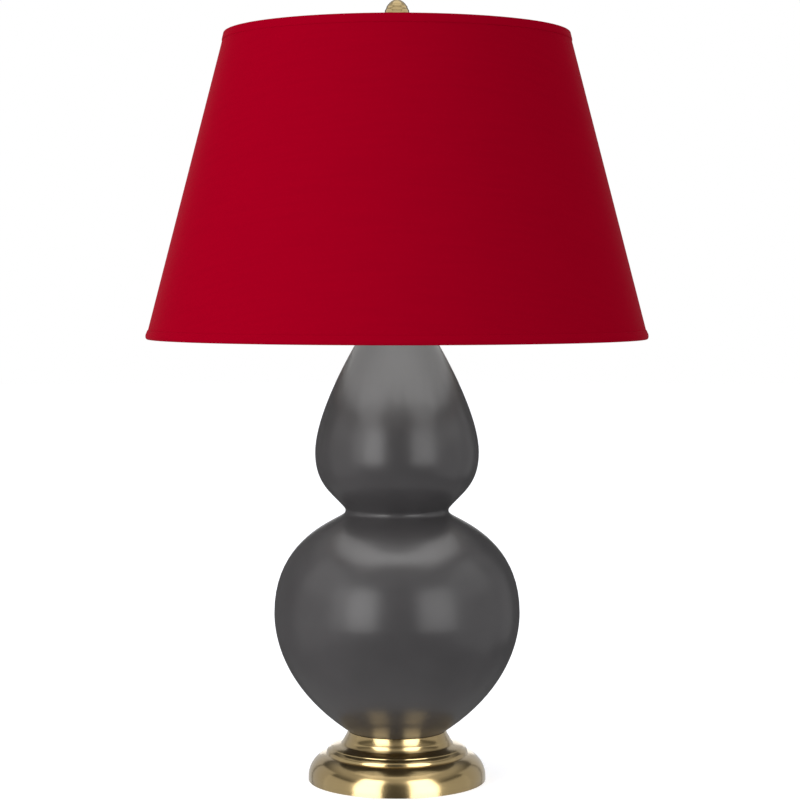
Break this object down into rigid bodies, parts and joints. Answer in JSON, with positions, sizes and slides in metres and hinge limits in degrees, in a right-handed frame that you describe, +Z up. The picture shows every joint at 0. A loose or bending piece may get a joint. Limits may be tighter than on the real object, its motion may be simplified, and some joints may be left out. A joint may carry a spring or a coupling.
{
  "type": "double gourd table lamp",
  "caption": "Table lamp with a double gourd ceramic body on a stepped round brass base, a tapered drum shade, harp, knob socket, bulb and beehive finial.",
  "frame": {"origin": "centre of the underside of the felt, on the surface that the lamp stands on", "axes": "+Z up along the lamp's axis, -Y towards the front where the switch knob points, +Y towards the cord bushing, X along the plane of the harp"},
  "size_m": [0.5051, 0.5052, 0.7874],
  "materials": {
    "felt": "pressed felt",
    "antique_brass": "antique, satin lacquered",
    "cast_iron": "as cast, black wash",
    "black_plastic": "moulded",
    "zinc_steel": "zinc plated",
    "rubber": "matt",
    "ceramic_glaze": "satin matt glaze",
    "insulating_board": "pressed fibre",
    "phenolic": "moulded phenolic",
    "contact_brass": "bright",
    "solder": "dull",
    "black_glass": "opaque",
    "bulb_metal": "spun",
    "frosted_glass": "frosted",
    "white_styrene": "matt, translucent",
    "red_cotton": "plain woven cotton"
  },
  "bodies": {
    "root": {"felt_pad": "felt", "base_shell": "antique_brass", "base_weight": "cast_iron", "cord_bushing": "black_plastic", "lamp_pipe": "zinc_steel", "lock_washer": "zinc_steel", "pipe_nut": "zinc_steel", "seat_gasket": "rubber", "gourd_body": "ceramic_glaze", "neck_gasket": "rubber", "vase_cap": "antique_brass", "neck_spacer": "antique_brass", "check_ring": "antique_brass", "harp_saddle": "antique_brass", "saddle_nut": "zinc_steel", "harp": "antique_brass", "socket_cap": "antique_brass", "socket_set_screw": "zinc_steel", "socket_shell": "antique_brass", "socket_liner": "insulating_board", "socket_interior": "phenolic", "terminal_screws": "contact_brass", "screw_shell": "contact_brass", "centre_contact": "contact_brass"},
    "switch": {"switch_shaft": "zinc_steel", "switch_knob": "black_plastic"},
    "bulb": {"bulb_contact": "solder", "bulb_insulator": "black_glass", "bulb_cap": "bulb_metal", "bulb_glass": "frosted_glass"},
    "left_sleeve": {"harp_sleeve_left": "antique_brass"},
    "right_sleeve": {"harp_sleeve_right": "antique_brass"},
    "shade": {"harp_stud": "antique_brass", "spider_hub": "antique_brass", "spider_arms": "antique_brass", "top_ring": "antique_brass", "bottom_ring": "antique_brass", "shade_lining": "white_styrene", "shade_fabric": "red_cotton", "top_trim": "red_cotton", "bottom_trim": "red_cotton"},
    "finial": {"finial": "antique_brass"}
  },
  "joints": [
    {"name": "switch_turn", "type": "hinge", "parent": "root", "child": "switch", "pos_m": [0, -0.019, 0.5404], "axis": [0, -1, 0], "continuous": true},
    {"name": "bulb_lift", "type": "slide", "parent": "root", "child": "bulb", "axis": [0, 0, 1], "range_m": [0, 0.024]},
    {"name": "left_sleeve_slide", "type": "slide", "parent": "root", "child": "left_sleeve", "axis": [0, 0, 1], "range_m": [0, 0.011]},
    {"name": "right_sleeve_slide", "type": "slide", "parent": "root", "child": "right_sleeve", "axis": [0, 0, 1], "range_m": [0, 0.011]},
    {"name": "shade_swivel", "type": "hinge", "parent": "root", "child": "shade", "pos_m": [0, 0, 0.7377], "axis": [0, 0, 1], "continuous": true},
    {"name": "finial_turn", "type": "hinge", "parent": "shade", "child": "finial", "pos_m": [0, 0, 0.7438], "axis": [0, 0, 1], "continuous": true}
  ]
}
